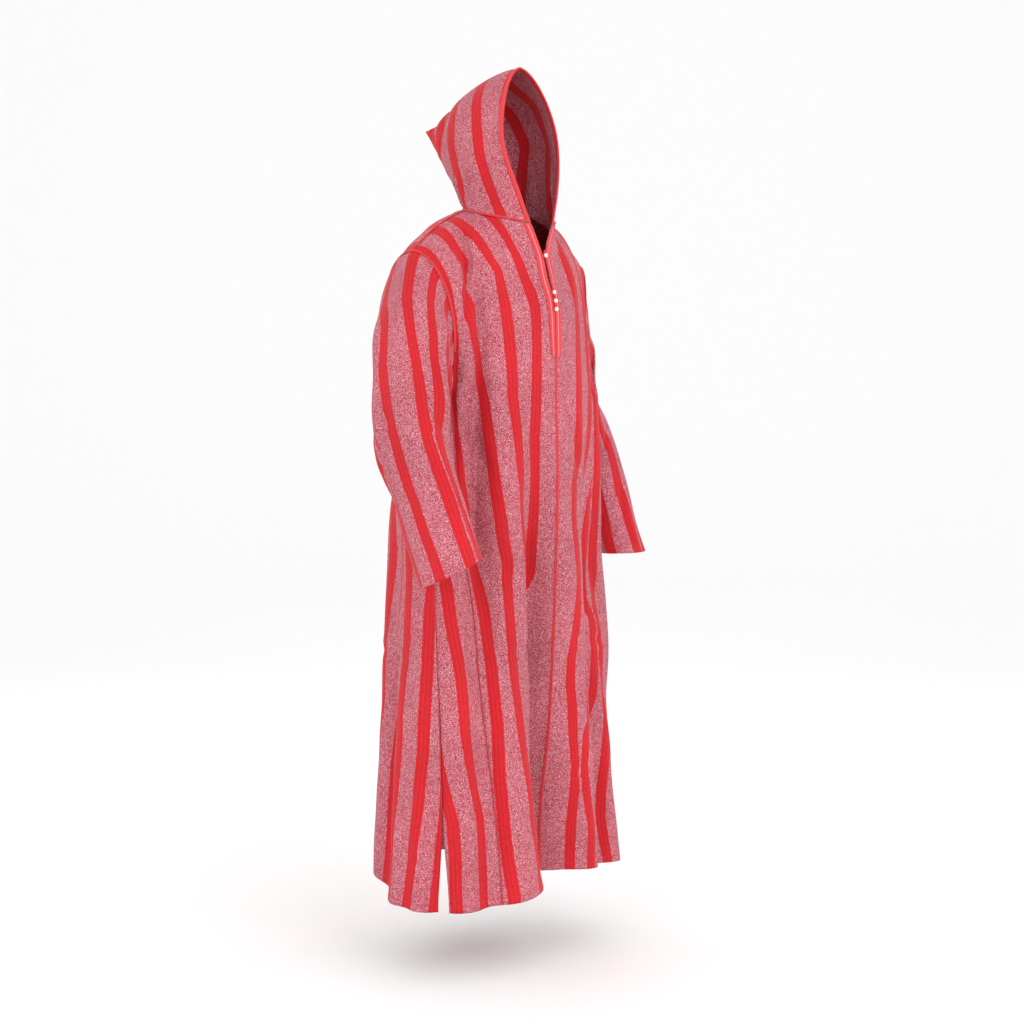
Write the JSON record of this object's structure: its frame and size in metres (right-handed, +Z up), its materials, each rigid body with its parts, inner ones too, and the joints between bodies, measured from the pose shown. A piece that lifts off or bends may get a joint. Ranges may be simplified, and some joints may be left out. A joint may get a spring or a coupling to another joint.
{
  "type": "hooded_djellaba_robe",
  "caption": "Long striped djellaba robe with a pointed hood, wide sleeves, side slits and a braided neck slit, hollow and in the shape it has when it is worn",
  "frame": {"origin": "the middle of the neckline, at the height where the robe hangs from the wearer's neck and shoulders", "axes": "-Y is the wearer's front, +X the wearer's left and +Z up"},
  "size_m": [0.788, 0.4663, 1.6319],
  "materials": {
    "striped_cloth": "matt woven cloth with solid red stripes on a flecked red and white ground",
    "red_braid": "smooth red braid with a slight sheen",
    "pearl": "pearly white"
  },
  "bodies": {
    "root": {"front_panel_right": "striped_cloth", "front_panel_left": "striped_cloth", "back_panel": "striped_cloth", "front_gore_right": "striped_cloth", "front_gore_left": "striped_cloth", "back_gore_right": "striped_cloth", "back_gore_left": "striped_cloth", "sleeve_right": "striped_cloth", "sleeve_left": "striped_cloth", "hood": "striped_cloth", "hood_braid": "red_braid", "placket_braid_right": "red_braid", "placket_braid_left": "red_braid", "neck_cord": "red_braid", "shoulder_cord_right": "red_braid", "shoulder_cord_left": "red_braid", "armhole_cord_right": "red_braid", "armhole_cord_left": "red_braid", "button_loop_1": "red_braid", "button_loop_2": "red_braid", "button_loop_3": "red_braid", "button_loop_4": "red_braid", "button_1": "pearl", "button_2": "pearl", "button_3": "pearl", "button_4": "pearl"}
  },
  "joints": []
}
